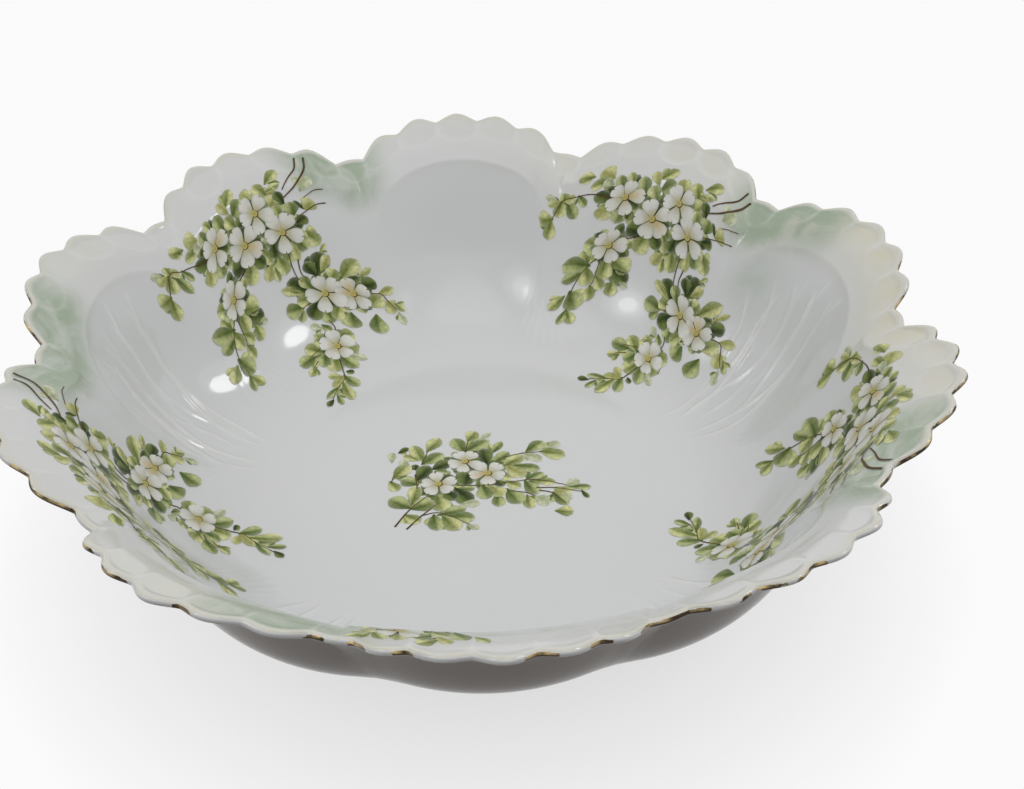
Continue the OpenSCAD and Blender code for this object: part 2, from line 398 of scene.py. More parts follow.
def maths(tree, operation, first, second):
    node = tree.nodes.new("ShaderNodeMath")
    node.operation = operation
    for socket, value in zip(node.inputs, (first, second)):
        if isinstance(value, (int, float)):
            socket.default_value = value
        else:
            tree.links.new(value, socket)
    return node.outputs[0]


def object_noise(tree, scale, detail=3.0, roughness=0.5, distortion=0.0):
    noise = tree.nodes.new("ShaderNodeTexNoise")
    values = {"Scale": scale, "Detail": detail, "Roughness": roughness, "Distortion": distortion}
    for name, value in values.items():
        noise.inputs[name].default_value = value
    tree.links.new(tree.nodes.new("ShaderNodeTexCoord").outputs["Object"], noise.inputs["Vector"])
    return noise.outputs["Fac"]


def axes(tree, kind):
    """X, Y and Z of a texture coordinate."""
    split = tree.nodes.new("ShaderNodeSeparateXYZ")
    tree.links.new(tree.nodes.new("ShaderNodeTexCoord").outputs[kind], split.inputs["Vector"])
    return split.outputs


def ranged(tree, value, low, high, to_low, to_high):
    node = tree.nodes.new("ShaderNodeMapRange")
    for name, number in (("From Min", low), ("From Max", high), ("To Min", to_low), ("To Max", to_high)):
        node.inputs[name].default_value = number
    tree.links.new(value, node.inputs["Value"])
    return node.outputs["Result"]


def mixed(tree, share, first, second, blend="MIX"):
    node = tree.nodes.new("ShaderNodeMix")
    node.data_type = "RGBA"
    node.blend_type = blend
    for socket, value in (("Factor_Float", share), ("A_Color", first), ("B_Color", second)):
        target = next(s for s in node.inputs if s.identifier == socket)
        if isinstance(value, (int, float)):
            target.default_value = value
        elif isinstance(value, tuple):
            target.default_value = (*value, 1.0)
        else:
            tree.links.new(value, target)
    return next(s for s in node.outputs if s.identifier == "Result_Color")


def uneven_gloss(tree, shader, scale, low, high):
    tree.links.new(ranged(tree, object_noise(tree, scale), 0.3, 0.7, low, high), shader.inputs["Roughness"])


def bumped(tree, shader, height, strength, distance):
    node = tree.nodes.new("ShaderNodeBump")
    node.inputs["Strength"].default_value = strength
    node.inputs["Distance"].default_value = distance
    tree.links.new(height, node.inputs["Height"])
    tree.links.new(node.outputs["Normal"], shader.inputs["Normal"])


def glaze_material(name, ground, shine):
    """Glaze on a plain ground, brushed with green round some notches and with cream along the flange; the
    green includes a painted reflection in one panel, the cream is partly painted shade in the dishes and on
    the lip, and raised lines carry a painted highlight.
    """
    material, tree, shader = new_material(name)
    share = channels(tree, "brushed")
    marble = object_noise(tree, 75.0, detail=4.0, roughness=0.55, distortion=1.6)
    streak = object_noise(tree, 140.0, detail=4.0, roughness=0.6, distortion=0.8)
    # Cream, partly painted shade in the dishes and on the lip.
    cream_and_shade = maths(tree, "MULTIPLY", share["Green"], ranged(tree, streak, 0.36, 0.62, 0.6, 1.0))
    green = maths(tree, "MULTIPLY", share["Red"], ranged(tree, marble, 0.36, 0.60, 0.55, 1.0))
    colour = mixed(tree, cream_and_shade, ground, CREAM_AND_SHADE_GLAZE)
    colour = mixed(tree, green, colour, GREEN_GLAZE)
    # Painted highlight: lighter glaze along raised hair lines and threads.
    colour = mixed(tree, share["Blue"], colour, PAINTED_HIGHLIGHT_GLAZE)
    cloud = ranged(tree, object_noise(tree, 38.0), 0.35, 0.7, 0.0, 0.5)
    colour = mixed(tree, cloud, colour, CLOUD_TINT, "MULTIPLY")
    tree.links.new(colour, shader.inputs["Base Color"])
    shader.inputs["Specular IOR Level"].default_value = shine
    uneven_gloss(tree, shader, 90.0, 0.06, 0.11)
    bumped(tree, shader, object_noise(tree, 130.0, 2.0), 0.10, 0.0004)
    return material


def enamel_material(name, low, high):
    """Painted colour under a thin glaze: the shading is in the mesh, and the brush's grain in the nodes."""
    material, tree, shader = new_material(name)
    paint = attribute(tree, "paint").outputs["Color"]
    grain = ranged(tree, object_noise(tree, 900.0, 4.0, 0.6), 0.3, 0.7, 0.0, 1.0)
    tone = mixed(tree, grain, (low, low, low), (high, high, high))
    tree.links.new(mixed(tree, 1.0, paint, tone, "MULTIPLY"), shader.inputs["Base Color"])
    shader.inputs["Specular IOR Level"].default_value = PAINT_SHINE
    uneven_gloss(tree, shader, 300.0, 0.14, 0.24)
    bumped(tree, shader, object_noise(tree, 700.0, 3.0), 0.15, 0.0002)
    return material


def gilding_material():
    """Gold that has worn through to the glaze in places, and is painted darker on its lower side: painted
    shade for the dark that side reflects.
    """
    material, tree, shader = new_material("worn_gilding")
    # Red of the cover is the gold that is left; green is painted shade on the lower side of the lip.
    share = channels(tree, "cover")
    wear = ranged(tree, object_noise(tree, 330.0, 4.0, 0.65), 0.3, 0.7, -0.45, 0.35)
    gold = ranged(tree, maths(tree, "ADD", share["Red"], wear), 0.42, 0.60, 0.0, 1.0)
    bright = ranged(tree, object_noise(tree, 300.0), 0.42, 0.68, 0.0, 1.0)
    tone = mixed(tree, bright, GOLD_DARK, GOLD_BRIGHT)
    # Darker on the lower side of the lip: painted shade.
    tone = mixed(tree, share["Green"], tone, GOLD_PAINTED_SHADE_UNDER)
    tree.links.new(mixed(tree, gold, WHITE_GLAZE, tone), shader.inputs["Base Color"])
    tree.links.new(gold, shader.inputs["Metallic"])
    uneven_gloss(tree, shader, 500.0, 0.14, 0.30)
    bumped(tree, shader, object_noise(tree, 900.0, 3.0), 0.2, 0.0002)
    return material


def foot_material():
    """Glazed sides, and a bare rougher tread where the bowl stood in the kiln."""
    material, tree, shader = new_material("foot_glaze")
    wobble = ranged(tree, object_noise(tree, 160.0, 4.0), 0.3, 0.7, -0.0004, 0.0004)
    bare = ranged(tree, maths(tree, "ADD", axes(tree, "Object")["Z"], wobble), 0.0004, 0.0009, 1.0, 0.0)
    body = mixed(tree, object_noise(tree, 420.0, 5.0), BARE_DARK, BARE_PALE)
    tree.links.new(mixed(tree, bare, WHITE_GLAZE, body), shader.inputs["Base Color"])
    tree.links.new(ranged(tree, bare, 0.0, 1.0, 0.1, 0.75), shader.inputs["Roughness"])
    bumped(tree, shader, object_noise(tree, 1500.0, 4.0), 0.2, 0.0002)
    return material


# The bowl.

def brushed_shares(theta, t):
    """Shares of green, round every other notch and as a painted reflection in one panel, of cream, along the
    flange and partly painted shade in the dishes and on the lip, and of painted highlight on raised hair
    lines and threads.
    """
    place = wall_place(theta, t)
    green, cream_and_shade = 0 * theta, FAINT_CREAM + 0 * theta
    brushed = smooth(place.gap, 0.0, BRUSH_MARGIN)
    for notch, first, last in GREEN_NOTCHES:
        off = turned(theta, notch)
        spread = smooth(off, first - 4, first + 3) * (1 - smooth(off, last - 3, last + 4))
        green = np.maximum(green, spread * (1 - smooth(place.gap, *GREEN_FADE)) * brushed)
    # Green in one plain panel: painted reflection of the spray beside it.
    lobe, angle, angle_half, radius, radius_half, strength = PANEL_PAINTED_REFLECTION
    painted_reflection = strength * bell((place.a - angle) / angle_half) * bell((place.r - radius) / radius_half)
    green = np.maximum(green, np.where(place.n == lobe, painted_reflection, 0))
    for middle, half, strength in CREAM_STRETCHES:
        cream_and_shade = np.maximum(cream_and_shade, strength * bell(turned(theta, middle) / half))
    cream_and_shade = cream_and_shade * (1 - smooth(place.gap, *CREAM_FADE)) * brushed
    # More cream in the dishes: partly pooled tint, partly painted shade in the hollows.
    cream_and_shade = cream_and_shade * (FLAT_CREAM + DISH_CREAM_AND_SHADE * dish_share(place))
    # Cream on the lip: partly its tint, partly painted shade on the bead.
    cream_and_shade = np.maximum(cream_and_shade, LIP_CREAM_AND_SHADE * (1 - smooth(place.gap, *LIP_CREAM_FADE)))
    # Lighter along raised hair lines and threads: painted highlight.
    painted_highlight = np.where(place.n % 2 == 0, FLOW_PAINTED_HIGHLIGHT * flow_share(place.n, place.a, place.r), 0)
    return np.stack([green, cream_and_shade, np.maximum(painted_highlight, THREAD_PAINTED_HIGHLIGHT * thread_share(place))], axis=-1)


def make_bowl(inner, outer):
    theta = column_angles()
    size = len(theta)
    rings, shares = [], []

    def add(points, share=None):
        rings.append(points)
        shares.append(np.zeros((size, 3)) if share is None else share)

    for radius in FLOOR_RINGS:
        add(placed(theta, radius + 0 * theta, FLOOR_TOP))
    for i in range(INNER_ROWS + 1):
        t = np.full(size, 1 - (1 - i / INNER_ROWS) ** INNER_CROWDING)
        add(inner_point(theta, t), brushed_shares(theta, t))
    # Cream on the lip, partly painted shade on the bead.
    lip_share = np.full((size, 3), (0, LIP_CREAM_AND_SHADE, 0))
    for i in range(1, LIP_ROWS):
        add(placed(theta, *lip_section(theta, 180 * i / LIP_ROWS, LIP_RADIUS)), lip_share)
    for i in range(OUTER_ROWS, -1, -1):
        t = np.full(size, 1 - (1 - i / OUTER_ROWS) ** OUTER_CROWDING)
        add(placed(theta, *outer_section(theta, t)))
    for radius in reversed(FLOOR_RINGS):
        add(placed(theta, radius + 0 * theta, FOOT_HEIGHT))

    points = np.concatenate(rings + [np.array([[0, 0, FLOOR_TOP], [0, 0, FOOT_HEIGHT]])])
    faces = ring_faces(len(rings), size)
    last, top, base = (len(rings) - 1) * size, len(rings) * size, len(rings) * size + 1
    for k in range(size):
        following = (k + 1) % size
        faces.append((top, following, k))
        faces.append((base, last + k, last + following))
    bowl = make_mesh("bowl_glazed", points, faces, [inner, outer])
    # Faces of the outside get the second material, the greyer glaze of painted shade.
    first_outer = (len(FLOOR_RINGS) + INNER_ROWS + LIP_ROWS // 2) * size
    outside = [first_outer < i < last for i in range(last)] + [False, True] * size
    bowl.data.polygons.foreach_set("material_index", np.array(outside, dtype=np.int32))
    turn_outward(bowl)
    set_colours(bowl, "brushed", np.concatenate(shares + [np.zeros((2, 3))]))
    return bowl


def turn_outward(obj):
    work = bmesh.new()
    work.from_mesh(obj.data)
    bmesh.ops.recalc_face_normals(work, faces=work.faces)
    work.to_mesh(obj.data)
    work.free()


# The gilt line: degrees round the lip to its two edges, rows between them, and half its thickness.
GILT_FROM, GILT_TO, GILT_ROWS = 60.0, 165.0, 12
GILT_FILM = 0.10
# Stretches of the lip where the gold has lasted, as angles from one end to the other.
GILT_STRETCHES = (
    (-123.5, -121), (-111, -108.5), (-106, -103.8), (-101, -98.8), (-88, -85.5), (-81.8, -79.3), (-76, -68),
    (-65.6, -64.2), (-63.4, -61.2), (-60, -56), (-47, -43), (-38, -34), (-33.5, -23.5), (-22.5, -14.5),
    (-14, -11), (-8.8, -6.4), (0, 4), (8.6, 10.2), (23, 25), (36.8, 41), (111, 114.5), (147, 149),
    (170, 173), (174.5, 178.5), (181, 183.5), (198.5, 203.5), (205.5, 214.5), (219, 223.5), (226.5, 230.5),
)


def gilt_cover(theta):
    """How much gold is left along the lip."""
    cover = 0 * theta
    for first, last in GILT_STRETCHES:
        off = np.abs(turned(theta, (first + last) / 2))
        cover = np.maximum(cover, 1 - smooth(off, (last - first) / 2 - 0.8, (last - first) / 2 + 1.2))
    return cover


def make_gilding(material):
    theta = column_angles()
    size = len(theta)
    cover = gilt_cover(theta)
    rings, covers = [], []
    turns = [mix(GILT_FROM, GILT_TO, i / GILT_ROWS) for i in range(GILT_ROWS + 1)]

    def add(turn, radius):
        edge = min(turn - GILT_FROM, GILT_TO - turn) / (GILT_TO - GILT_FROM)
        kept = cover - 0.35 * max(0.0, 0.2 - edge) / 0.2
        rings.append(placed(theta, *lip_section(theta, turn, radius)))
        # Green of the cover: painted shade on the lower side of the lip.
        covers.append(np.stack([kept, smooth(turn, 84, 112) + 0 * theta, 0 * theta], axis=-1))

    for turn in turns:
        add(turn, LIP_RADIUS + GILT_FILM)
    for turn in reversed(turns):
        add(turn, LIP_RADIUS - GILT_FILM)
    faces = ring_faces(len(rings), size)
    last = (len(rings) - 1) * size
    for k in range(size):
        following = (k + 1) % size
        faces.append((last + k, last + following, following, k))
    gilding = make_mesh("gilt_line", np.concatenate(rings), faces, [material])
    turn_outward(gilding)
    set_colours(gilding, "cover", np.concatenate(covers))
    return gilding


# Painted sprays. A spray is drawn flat: x to the right as seen from the middle of the bowl, y up the wall
# from the edge of the floor. Each leaf, petal and stem is a thin closed sheet laid on the glaze.

# Leaf tones, from dark to pale: linear colour of the shaded half and of the lit half.
D, G, O, Y, P = range(5)
LEAF_TONES = (
    ((0.022, 0.038, 0.008), (0.150, 0.195, 0.050)),
    ((0.075, 0.118, 0.022), (0.480, 0.515, 0.235)),
    ((0.130, 0.170, 0.034), (0.640, 0.645, 0.310)),
    ((0.280, 0.295, 0.085), (0.580, 0.575, 0.290)),
    ((0.360, 0.400, 0.230), (0.580, 0.600, 0.420)),
)
# Leaves: x and y of the base, direction of the tip, length, width and tone.
WALL_LEAVES = (
    # top, left of the stems
    (-22.5, 74.5, 165, 4.5, 3, O), (-16, 73, 138, 5.2, 3.6, Y), (-18, 71.5, 188, 4, 2.8, O),
    (-15.5, 70.5, 150, 3.2, 2.2, P), (-12, 68.7, 115, 4.6, 2.6, G), (-8.8, 70.8, 125, 3.7, 2, O),
    (-4.7, 67, 106, 5.8, 3.4, G), (-1.3, 71.4, 121, 4.1, 2.5, Y), (-0.8, 73.4, 43, 5.1, 2.6, O),
    (0.2, 70, 37, 4.6, 3.5, G), (-0.5, 67, 125, 4, 3.5, O),
    # far left
    (-31.6, 61, 195, 3.8, 4.2, O), (-31.5, 59.8, 275, 5.7, 3, O), (-30.2, 67.3, 276, 5, 3.4, O),
    (-28.3, 67.5, 303, 7, 2.6, G), (-25.2, 68.7, 306, 4.8, 1.8, G), (-29.7, 68, 11, 3.2, 2.6, Y),
    (-29.7, 68, 110, 2.6, 1.8, O), (-32.4, 68, 175, 3, 2, P), (-31, 67.5, 215, 3.4, 2.2, Y),
    # round the upper blossoms
    (-13.8, 65.3, 159, 6.3, 3.2, D), (-14.7, 63.7, 244, 4.4, 4.4, Y), (-10.2, 62.8, 256, 4.5, 3.6, G),
    (-9, 62.5, 290, 3.2, 1.8, Y), (-8, 62.5, 275, 3, 1.6, D), (-2.7, 56.2, 168, 4.2, 4, D),
    (-0.2, 55.3, 248, 5.4, 4.6, O), (-14.4, 50.6, 165, 4.3, 3.7, O), (-6.6, 50, 55, 3.7, 2.4, O),
    (-13.4, 47.6, 143, 4.2, 3, G),
    # top, right of the stems
    (7.2, 72, 100, 3, 3.2, Y), (12.7, 71.8, 124, 4, 3.3, O), (14.7, 75.4, 37, 5.9, 2.5, O),
    (13.8, 72.9, 19, 4.3, 1.6, O), (13.6, 71.8, 25, 2.8, 2, Y), (13, 68.2, 60, 3.2, 3.2, Y),
    (14.7, 64.8, 110, 3.2, 3.6, O), (18.8, 64.6, 93, 3.5, 4.2, G), (17.2, 68.4, 112, 3.6, 2.6, D),
    (24, 72, 46, 6, 2.7, P), (23, 66, 42, 3.8, 3.6, Y), (22.4, 66, 127, 3, 1.2, D),
    (19, 61.8, 20, 3.5, 2.5, D), (20.2, 58.4, 308, 4.6, 4, O), (17.6, 58.2, 340, 2.8, 2.6, Y),
    (17.2, 56.8, 304, 3.5, 4, G), (14.7, 55.4, 236, 5, 3.4, G), (15.2, 56.2, 270, 5.2, 2, Y),
    (4.7, 58, 290, 5.6, 2.8, O), (1.3, 57.3, 302, 5.2, 3.2, D), (9, 57, 250, 3.5, 3, D),
    (9.4, 53, 276, 4.8, 3.8, O), (6, 51.8, 234, 4.2, 2.8, Y), (7.1, 50.5, 268, 3.6, 1.8, O),
    # lower right
    (19, 45.3, 58, 7, 4.4, D), (18.5, 45.5, 110, 4, 3.4, D), (21, 46.5, 52, 5.2, 2.2, Y),
    (22.5, 52, 45, 3.3, 1, Y), (25.8, 43.2, 41, 8.5, 3.8, O), (31.6, 43.8, 34, 4.8, 1.6, Y),
    (25.4, 41.5, 16, 6, 2, D), (31.6, 40.7, 18, 4, 3.6, D), (35.4, 37.5, 8, 4.6, 2.4, Y),
    (30.8, 34, 25, 5, 4.4, O), (36.8, 34.4, 270, 4.2, 3, Y), (38.7, 32.8, 300, 3.4, 1.7, O),
    (38.3, 29.4, 270, 4, 1.8, P), (31.2, 30, 254, 6, 4.2, G), (24, 31.5, 249, 4.5, 4.5, G),
    (17.5, 34, 263, 4, 3.4, G), (21.6, 34.4, 240, 4.3, 3, O), (15.8, 36.5, 228, 5, 4, D),
    (10.8, 36.7, 178, 5.2, 3.8, G), (13.7, 41.5, 142, 5.4, 4.2, D), (12.5, 40.7, 152, 6.2, 2.2, Y),
    (13.7, 38.6, 180, 3.5, 3, O), (15.8, 41.5, 118, 4.2, 3, G), (22.9, 43.2, 60, 3.4, 3.4, O),
    # round the lowest blossom, and the tail
    (16.6, 24.8, 355, 4.4, 3.8, O), (15.4, 19.8, 12, 4.5, 3.6, O), (13.7, 19, 286, 6.2, 3.4, G),
    (16.6, 17.5, 323, 4, 2, P), (11.6, 18.6, 239, 4.9, 4, O), (9.6, 20.7, 228, 4, 3.6, G),
    (9, 22, 142, 4.7, 3.4, O), (6.2, 21.5, 178, 5.2, 3.2, G), (4.6, 18.2, 199, 3.3, 2, O),
    (13.3, 29, 145, 3, 1.8, P), (14, 29.8, 304, 3, 2, G), (9.8, 11, 207, 5.4, 2.8, Y),
    (10.2, 11, 281, 5.3, 2.8, G), (11.8, 12.4, 325, 2, 1.4, D), (8, 8.6, 256, 7, 2.8, O),
    (6, 8.2, 193, 5.5, 1.8, G), (1.2, 5, 193, 2.8, 1.8, D), (3.5, 5.7, 256, 4, 1.6, G),
    # lower left
    (-16, 44.3, 174, 7.2, 4.4, G), (-17.5, 42, 206, 5.1, 3, G), (-16.4, 43.7, 287, 5.6, 3.6, O),
    (-10.7, 46, 274, 5.6, 4, O), (-8.4, 46, 340, 5.4, 5, O), (-7.3, 43.2, 324, 5.2, 3.8, D),
    (-7, 39.6, 279, 4, 3.2, O), (-4.5, 40, 330, 2.6, 1.6, P), (-12.3, 40.7, 304, 4.2, 2.6, O),
    (-13.4, 37.6, 280, 4.2, 3, O), (-20.3, 34.3, 236, 5, 3, O), (-18.6, 35.7, 303, 6, 4.6, G),
    (-17.7, 29.8, 262, 4.7, 2, G), (-17.3, 29.3, 306, 4.8, 2.4, O),
)
# Blossoms: x and y of the eye, size, direction of the first petal, petals with ochre on them.
WALL_BLOSSOMS = (
    (7.1, 67.7, 11.8, 45, ()), (-10.4, 66.2, 11.7, 5, (0,)), (0, 60.8, 12.5, 40, (4,)),
    (13.3, 59.9, 12.5, 45, ()), (-11.2, 50.8, 11.3, 5, ()), (19.2, 39.1, 12.5, 33, ()),
    (27.5, 38, 11, 20, (1, 2)), (14.6, 22, 11, 3, ()),
)
# Stems: points, and width at the start.
WALL_STEMS = (
    (((31.5, 86), (28.5, 79.5), (23, 73.5), (18, 70)), 0.65),
    (((28.5, 86), (26, 80), (22, 76), (18.5, 72.5)), 0.5),
    (((31, 72.7), (28, 72), (24, 69.5)), 0.3),
    (((30, 68), (27, 67.3), (22.4, 64.8), (18, 62.6), (14, 60)), 0.35),
    (((13, 55), (12.5, 50), (12.8, 46), (14, 44)), 0.35),
    (((15, 51), (14.5, 47), (15.5, 44.5)), 0.35),
    (((-2, 55), (-9.4, 52.3), (-11.6, 51.2)), 0.4),
    (((-13.6, 65.6), (-20.2, 68.1), (-25.2, 68.7), (-29.7, 68.1), (-31.6, 61.2)), 0.4),
    (((-11.7, 48.4), (-15.9, 44.3), (-18.4, 37.3), (-17.8, 30.4)), 0.35),
    (((-12.8, 48), (-12.8, 41), (-13.2, 37.5)), 0.3),
    (((17, 38), (10.8, 36.7)), 0.3),
    (((32, 38), (35.8, 37.3), (37, 34.4), (38.3, 30.7)), 0.35),
    (((16.6, 30.7), (17.3, 28.2), (16.2, 25.7)), 0.35),
    (((13.3, 19.4), (11.2, 13.6), (9.6, 10.3), (5.8, 8.2), (1.2, 5.3)), 0.35),
    (((9.6, 23.2), (4.6, 21.9)), 0.3),
    (((6.6, 19.8), (3.3, 18.2)), 0.3),
)
# The spray on the floor, in the bowl's own x and y.
FLOOR_LEAVES = (
    # back
    (-2, 18.7, 65, 4.2, 3, O), (-3.4, 13.7, 115, 6, 3.4, G), (-2.4, 14.1, 33, 6.4, 3.4, G),
    (1.2, 18.7, 45, 4, 1.6, P), (4.4, 12.6, 60, 5, 2, G), (2.6, 8, 93, 6, 3.2, D),
    (4.8, 8.4, 47, 5.2, 2.8, G), (7.3, 6.6, 40, 6, 3.2, O), (14.1, 12.6, 40, 5.6, 3.2, G),
    (20.1, 13.7, 37, 3.6, 2.4, P), (18, 11.9, 340, 6, 3.8, O), (13, 11.6, 323, 5.4, 2.6, P),
    (-14.9, 10.5, 112, 6.6, 3, O), (-13.4, 14.8, 60, 5.8, 3.2, O), (-14.5, 9.1, 37, 6, 3.4, G),
    (-12, 6.6, 33, 4.8, 3.2, D), (-21.3, 14.4, 40, 3, 1.6, D), (-23.3, 10.5, 90, 3.8, 1.8, P),
    (-20.6, 8, 75, 2.8, 2, P),
    # right
    (10.5, 6.2, 343, 6, 2.8, G), (8, 5.9, 310, 5.6, 3.2, Y), (13, 0.1, 27, 4.8, 2.2, G),
    (15.1, -0.9, 352, 5, 2.4, O), (12.6, -0.9, 296, 5.6, 3.2, G), (23.4, -3.4, 33, 3.8, 2.4, P),
    (24.8, -4.1, 355, 4.6, 2, G), (20.1, -6.3, 15, 4, 2.8, Y), (19.8, -6.3, 301, 5.4, 2.8, G),
    (22.5, -6.3, 300, 3, 1.6, P), (27.3, -6, 295, 3, 1.2, D), (19.8, -13.8, 355, 4, 3.2, O),
    (12.6, -7, 275, 4.8, 2.6, O), (14.8, -7.4, 309, 4.4, 2.6, P),
    # front
    (7.6, -4.1, 298, 6, 4, G), (4.8, -5.6, 270, 4.8, 2.8, G), (3.4, -2.7, 310, 4.2, 3.4, Y),
    (0.9, -2, 278, 5, 3.6, G), (7.5, -0.5, 320, 4, 2.6, O), (-6.3, -2.7, 299, 6.6, 4, D),
    (-4.9, -9.1, 0, 4.2, 2.4, P), (-9, -3.5, 300, 4, 3.4, D), (-11.3, -5.6, 284, 5.6, 4, O),
    (-10.9, -13, 18, 6.6, 3, G), (-8.4, -14.1, 352, 6, 3.4, G), (-12.4, -13.4, 278, 5.4, 3.4, G),
    (-9.9, -14.1, 306, 6, 3.8, O), (-3.8, -17.7, 330, 3, 1.6, P),
    # left
    (-19.9, -12.7, 320, 4.4, 3, O), (-18.1, -9.9, 24, 5.6, 4.4, G), (-18.8, -9.5, 142, 6, 4, G),
    (-18.1, -7.7, 80, 6.6, 3, O), (-16.6, 0.1, 149, 4.4, 3.4, G), (-16.3, 2.3, 63, 5.8, 3.4, D),
    (-17, 6.6, 90, 2, 1.6, D), (-22.7, 3.4, 52, 6, 3.4, O), (-23.8, 1.6, 296, 4, 2.6, O),
    # dark middle between the blossoms
    (-6, 0, 45, 5, 4, D), (-3, 3, 250, 4, 3.5, D),
)
FLOOR_BLOSSOMS = ((-10.9, -0.2, 10, 20, ()), (-3.4, 9.1, 10, 50, ()), (2.6, 3.4, 10.5, 50, (2,)))
FLOOR_STEMS = (
    (((-22.7, -17.1), (-19.1, -10.9), (-14.5, -5.6)), 0.5),
    (((-19.7, -18.3), (-15.6, -13.1), (-12, -9.1)), 0.5),
    (((-15.9, -13.1), (-10.6, -12.4), (-3.1, -17.7)), 0.35),
    (((-5.9, -1.1), (0.9, -1.6), (8, -0.9), (15.1, -0.2), (23.4, -3.1)), 0.35),
    (((15.1, -3.8), (20.1, -4.1), (27.3, -6.3)), 0.4),
    (((8, -4.5), (12.3, -5.6), (14.8, -7.4)), 0.35),
    (((15.9, -4.9), (19.4, -6.3), (22.6, -10.9)), 0.4),
    (((-3.1, 13), (-2, 18.7)), 0.35),
    (((7.3, 10.1), (13, 11.7), (18, 11.9)), 0.35),
    (((-15.2, 8.7), (-14.5, 10.9), (-13.4, 14.4)), 0.35),
    (((-17, 4.4), (-16.6, -2)), 0.5),
    (((-23.6, 1.2), (-22.7, 3.4), (-19.5, 4.1)), 0.35),
)
# Every wall spray is the same print, laid by hand: middle of its lobe, shift along x and y, and the part of
# the print that was used, from its lowest x and y to its highest.
WHOLE_PRINT = (-99.0, -9.0, 99.0, 99.0)
SPRAYS = (
    (126.0, (-9.8, 0.3), WHOLE_PRINT),
    (54.0, (0.0, 0.0), WHOLE_PRINT),
    (-18.0, (1.5, 0.5), WHOLE_PRINT),
    (-90.0, (14.0, 8.0), (-9.0, 30.0, 16.0, 80.0)),
    (198.0, (-8.5, 2.0), WHOLE_PRINT),
)

STEM_BROWN = (0.095, 0.060, 0.025)
PETAL_WHITE = (0.71, 0.71, 0.665)
PETAL_SHADE = (0.42, 0.42, 0.38)
PETAL_BASE = (0.50, 0.47, 0.20)
PETAL_OCHRE = (0.56, 0.42, 0.16)
EYE_YELLOW = (0.40, 0.33, 0.07)
EYE_BROWN = (0.13, 0.075, 0.025)
LEAF, PETAL, STEM = 0, 1, 2
# Sheets reach this far into the glaze, and their edges fade down to its colour: painted light that keeps the
# shaded sides of the sheets from showing as dark outlines.
SUNK, EDGE_PAINTED_LIGHT = 0.03, 1.0


class Sheets:
    """Flat sheets with a colour at each point, kept until they are laid on the bowl."""

    def __init__(self):
        self.x, self.y, self.h, self.colours, self.faces, self.kinds = [], [], [], [], [], []
        self.count = 0

    def add(self, x, y, colours, kind, height):
        rows, columns = x.shape
        size = rows * columns
        # The sunk copy takes the glaze's colour, so the sides lighten downwards: painted light.
        for h, painted_light in ((height, 0.0), (-SUNK, EDGE_PAINTED_LIGHT)):
            self.x.append(x.ravel())
            self.y.append(y.ravel())
            self.h.append(np.full(size, h))
            self.colours.append(mix(colours, np.array(WHITE_GLAZE), painted_light).reshape(-1, 3))
        grid = self.count + np.arange(size).reshape(rows, columns)
        quads = np.stack([grid[:-1, :-1], grid[:-1, 1:], grid[1:, 1:], grid[1:, :-1]], axis=-1).reshape(-1, 4)
        edge = np.concatenate([grid[0], grid[1:, -1], grid[-1, -2::-1], grid[-2:0:-1, 0]])
        ahead = np.roll(edge, -1)
        self.faces += quads.tolist() + (quads[:, ::-1] + size).tolist()
        self.faces += np.stack([ahead, edge, edge + size, ahead + size], axis=-1).tolist()
        self.kinds += [kind] * (len(self.faces) - len(self.kinds))
        self.count += 2 * size


def curve_points(points, count):
    """Smooth line through a few points, as count places and their directions in degrees."""
    points = np.asarray(points, dtype=float)
    ends = np.vstack([2 * points[0] - points[1], points, 2 * points[-1] - points[-2]])
    places = np.linspace(0, len(points) - 1, count)
    line = []
    for place in places:
        i = min(int(place), len(points) - 2)
        f = place - i
        p0, p1, p2, p3 = ends[i:i + 4]
        line.append(0.5 * (2 * p1 + (p2 - p0) * f + (2 * p0 - 5 * p1 + 4 * p2 - p3) * f * f
                           + (3 * p1 - p0 - 3 * p2 + p3) * f ** 3))
    line = np.array(line)
    step = np.gradient(line, axis=0)
    return line, np.degrees(np.arctan2(step[:, 1], step[:, 0]))


def tint(colours, colour, share):
    return mix(colours, np.array(colour), share[..., None])


def turned_shape(x, y, direction, along, aside):
    c, s = np.cos(np.radians(direction)), np.sin(np.radians(direction))
    return x + along * c - aside * s, y + along * s + aside * c


def add_leaf(sheets, x, y, direction, length, width, tone, light_side, height):
    """Leaf that is broadest beyond its middle, dark along one half, yellow towards the tip of the other."""
    u = np.linspace(0, 1, 12)[:, None]
    v = np.array([-1.0, -0.85, -0.5, -0.15, 0.15, 0.5, 0.85, 1.0])[None, :]
    half = width / 2 * (0.08 + 0.92 * np.sin(math.pi * u ** 1.5) ** 0.7)
    along = length * (u + 0.05 * np.abs(v) * u * (1 - u))
    dark, light = LEAF_TONES[tone]
    lit = v * light_side
    share = mix(0.40 * u, 0.35 + 0.50 * u, smooth(lit, -0.2, 0.25))
    share = share + 0.35 * bell((u - 0.62) / 0.25) * bell((lit - 0.5) / 0.45)
    share = share - 0.45 * bell(v / 0.3) * (1 - u) ** 0.8
    colours = tint(np.array(dark), light, np.clip(share, 0, 1.05))
    rim = np.maximum(smooth(np.abs(v), 0.75, 1.0) * (0.15 + 0.85 * u), smooth(u, 0.86, 1.0))
    colours = tint(colours, WHITE_GLAZE, 0.40 * rim)
    sheets.add(*turned_shape(x, y, direction, along, half * v), colours, LEAF, height)


